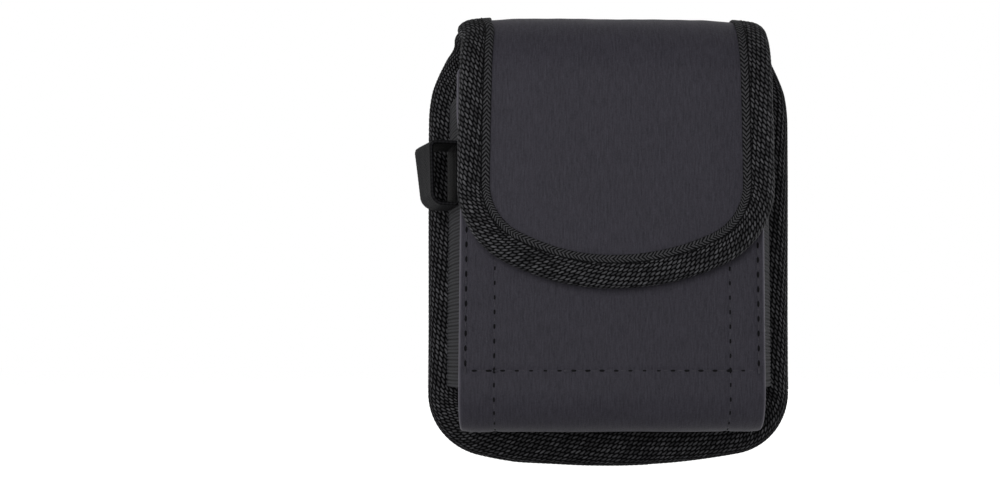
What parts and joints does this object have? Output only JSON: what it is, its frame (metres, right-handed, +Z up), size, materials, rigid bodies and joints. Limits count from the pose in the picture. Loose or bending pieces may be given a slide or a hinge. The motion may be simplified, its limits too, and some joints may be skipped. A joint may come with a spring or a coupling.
{
  "type": "phone belt holster",
  "caption": "Upright padded belt case for a folding phone, with a rounded flap over the top, elastic sides, a spring belt clip, a ring in a tab and a side loop.",
  "frame": {"origin": "under the top of the belt clip's bends, in the middle of the clip, where a belt's upper edge bears", "axes": "+X to the right seen from the front, +Y towards the wearer's back-facing clip side, +Z up"},
  "size_m": [0.0901, 0.0467, 0.1079],
  "materials": {
    "leatherette": "fine grain, satin",
    "foam": "closed cell, matte",
    "board": "stiff sheet, matte",
    "lining": "smooth woven lining",
    "binding_tape": "coarse twill tape",
    "elastic": "ribbed elastic",
    "webbing": "flat woven webbing",
    "black_steel": "gloss black lacquer",
    "bare_steel": "plain zinc plate",
    "nickel": "polished nickel"
  },
  "bodies": {
    "case": {"back_cover": "leatherette", "back_padding": "foam", "back_board": "board", "back_lining": "lining", "back_binding": "binding_tape", "front_cover": "leatherette", "front_lining": "lining", "front_plate": "bare_steel", "left_gusset": "elastic", "right_gusset": "elastic", "patch_base": "leatherette", "patch_cover": "leatherette", "belt_clip": "black_steel", "rivets": "black_steel", "rivet_washers": "bare_steel", "ring_tab": "webbing", "side_loop": "webbing"},
    "flap": {"flap_cover": "leatherette", "flap_padding": "foam", "flap_lining": "lining", "flap_binding": "binding_tape", "flap_magnet": "bare_steel"},
    "ring": {"d_ring": "nickel"}
  },
  "joints": [
    {"name": "flap_fold", "type": "hinge", "parent": "case", "child": "flap", "pos_m": [0, -0.02368, 0.02595], "axis": [-1, 0, 0], "range_deg": [0, 160]},
    {"name": "ring_swing", "type": "hinge", "parent": "case", "child": "ring", "pos_m": [0, -0.005, 0.01115], "axis": [-1, 0, 0], "range_deg": [-25, 140]}
  ]
}
